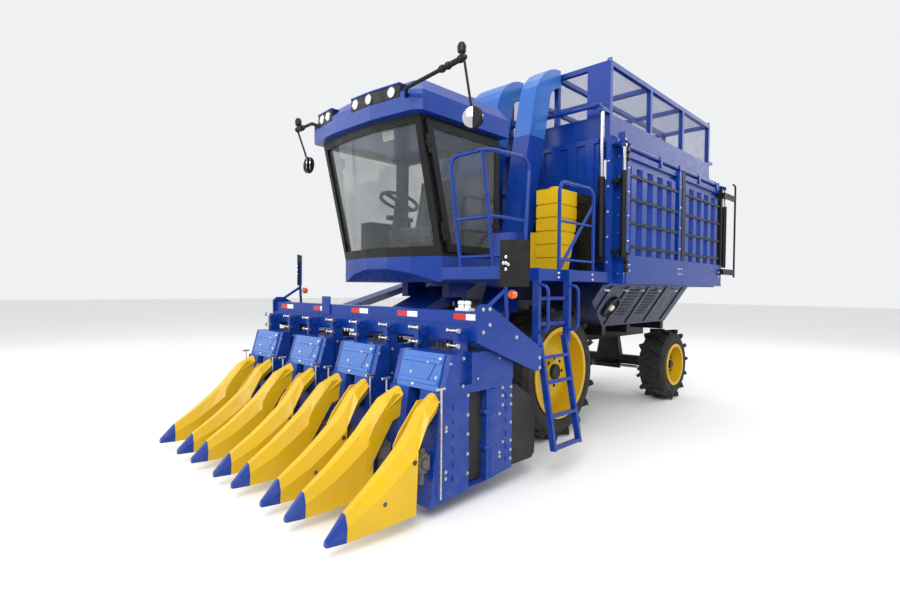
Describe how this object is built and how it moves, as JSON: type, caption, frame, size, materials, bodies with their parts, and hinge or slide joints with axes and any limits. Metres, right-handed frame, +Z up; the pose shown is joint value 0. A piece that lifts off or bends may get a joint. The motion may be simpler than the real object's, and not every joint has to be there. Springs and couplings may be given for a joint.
{
  "type": "cotton picker machine",
  "caption": "Self-propelled cotton picker: picking units on a lifting header, cab, air ducts, and a basket with a sliding cage and a side door.",
  "frame": {"origin": "on the ground below the middle of the machine", "axes": "+X forward along the rows, +Y to the machine's left, +Z up"},
  "size_m": [6.778, 3.1896, 3.8717],
  "materials": {
    "blue": "gloss blue enamel",
    "light_blue": "lighter blue enamel",
    "yellow": "yellow enamel",
    "yellow_tank": "yellow moulded plastic",
    "black": "black paint",
    "dark_grey": "dark grey paint",
    "iron": "as cast, oily",
    "chrome": "hard chrome",
    "tyre": "moulded rubber",
    "rubber": "flat rubber sheet",
    "glass": "tinted clear glass",
    "mesh": "woven wire, painted",
    "seat": "woven cloth",
    "plastic": "grained plastic",
    "lens": "clear ribbed lens"
  },
  "bodies": {
    "chassis": {"chassis_frame": "black", "front_axle": "iron", "rear_axle": "black", "engine_block": "iron", "engine_hood": "dark_grey", "basket_floor": "blue", "basket_end_walls": "blue", "basket_right_wall": "blue", "basket_posts": "blue", "frame_members": "black", "duct_risers": "blue", "duct_spouts": "light_blue", "roof_lamps": "lens", "cab_floor": "blue", "cab_frame": "black", "cab_roof": "blue", "cab_glazing": "glass", "cab_seat": "seat", "cab_controls": "plastic", "cab_mirrors": "plastic", "deck": "blue", "deck_rails": "blue", "product_tank": "yellow_tank", "radiator_grille": "black", "upper_ladder": "blue", "cage_lift_barrels": "black", "door_barrels": "black"},
    "wheel_front_left": {"front_tyre_left": "tyre", "front_rim_left": "yellow"},
    "wheel_front_right": {"front_tyre_right": "tyre", "front_rim_right": "yellow"},
    "steer_left": {"rear_knuckle_left": "iron"},
    "steer_right": {"rear_knuckle_right": "iron"},
    "wheel_rear_left": {"rear_tyre_left": "tyre", "rear_rim_left": "yellow"},
    "wheel_rear_right": {"rear_tyre_right": "tyre", "rear_rim_right": "yellow"},
    "steering_slider": {"steering_rod": "chrome"},
    "header": {"toolbar": "blue", "lift_arms": "blue", "picking_units": "blue", "unit_covers": "light_blue", "snouts": "yellow", "snout_tips": "blue", "crop_flaps": "rubber", "header_mirrors": "blue", "header_mirror_plates": "plastic"},
    "lift_barrels": {"header_barrels": "black"},
    "lift_rods": {"header_rods": "chrome"},
    "cage": {"cage_frame": "blue", "cage_posts": "blue", "cage_mesh": "mesh", "cage_lift_rods": "chrome"},
    "basket_door": {"unloading_door": "blue", "door_frame": "black"},
    "door_cylinder_rods": {"door_rods": "chrome"},
    "cab_door_leaf": {"cab_door": "black", "cab_door_glass": "glass"},
    "ladder": {"lower_ladder": "blue"}
  },
  "joints": [
    {"name": "spin_front_left", "type": "hinge", "parent": "chassis", "child": "wheel_front_left", "pos_m": [0.35, 0.76, 0.68], "axis": [0, 1, 0], "continuous": true},
    {"name": "spin_front_right", "type": "hinge", "parent": "chassis", "child": "wheel_front_right", "pos_m": [0.35, -0.76, 0.68], "axis": [0, 1, 0], "continuous": true},
    {"name": "steer_left_turn", "type": "hinge", "parent": "chassis", "child": "steer_left", "pos_m": [-2.51, 0.54, 0.49], "axis": [0, 0, 1], "range_deg": [-35, 35]},
    {"name": "steer_right_turn", "type": "hinge", "parent": "chassis", "child": "steer_right", "pos_m": [-2.51, -0.54, 0.49], "axis": [0, 0, 1], "range_deg": [-35, 35]},
    {"name": "steering_slide", "type": "slide", "parent": "chassis", "child": "steering_slider", "axis": [0, 1, 0], "range_m": [-0.0795, 0.0795]},
    {"name": "spin_rear_left", "type": "hinge", "parent": "steer_left", "child": "wheel_rear_left", "pos_m": [-2.51, 0.815, 0.49], "axis": [0, 1, 0], "continuous": true},
    {"name": "spin_rear_right", "type": "hinge", "parent": "steer_right", "child": "wheel_rear_right", "pos_m": [-2.51, -0.815, 0.49], "axis": [0, 1, 0], "continuous": true},
    {"name": "header_lift", "type": "hinge", "parent": "chassis", "child": "header", "pos_m": [0.7, 0, 1], "axis": [0, -1, 0], "range_deg": [0, 12]},
    {"name": "lift_barrel_tilt", "type": "hinge", "parent": "chassis", "child": "lift_barrels", "pos_m": [0.76, 0, 0.585], "axis": [0, -1, 0], "range_deg": [0, 10.2]},
    {"name": "lift_rod_slide", "type": "slide", "parent": "lift_barrels", "child": "lift_rods", "axis": [0.9317, 0, 0.3631], "range_m": [0, 0.0845]},
    {"name": "cage_slide", "type": "slide", "parent": "chassis", "child": "cage", "axis": [0, 0, 1], "range_m": [-0.65, 0]},
    {"name": "door_open", "type": "hinge", "parent": "chassis", "child": "basket_door", "pos_m": [-1.41, 1.375, 2.985], "axis": [1, 0, 0], "range_deg": [0, 72]},
    {"name": "door_rod_slide", "type": "slide", "parent": "chassis", "child": "door_cylinder_rods", "axis": [0, 0, 1], "range_m": [0, 0.0915]},
    {"name": "cab_door_swing", "type": "hinge", "parent": "chassis", "child": "cab_door_leaf", "pos_m": [1.935, 0.725, 2.365], "axis": [-0.2447, 0, -0.9696], "range_deg": [0, 42]},
    {"name": "ladder_fold", "type": "hinge", "parent": "chassis", "child": "ladder", "pos_m": [1.17, 1.365, 1.11], "axis": [1, 0, 0], "range_deg": [0, 150]}
  ],
  "couplings": [
    {"joint": "steer_right_turn", "follows": "steer_left_turn", "ratio": 1},
    {"joint": "steering_slide", "follows": "steer_left_turn", "m_per_rad": 0.13},
    {"joint": "lift_barrel_tilt", "follows": "header_lift", "ratio": 0.832},
    {"joint": "lift_rod_slide", "follows": "header_lift", "m_per_rad": 0.398},
    {"joint": "door_rod_slide", "follows": "door_open", "m_per_rad": 0.0722}
  ]
}
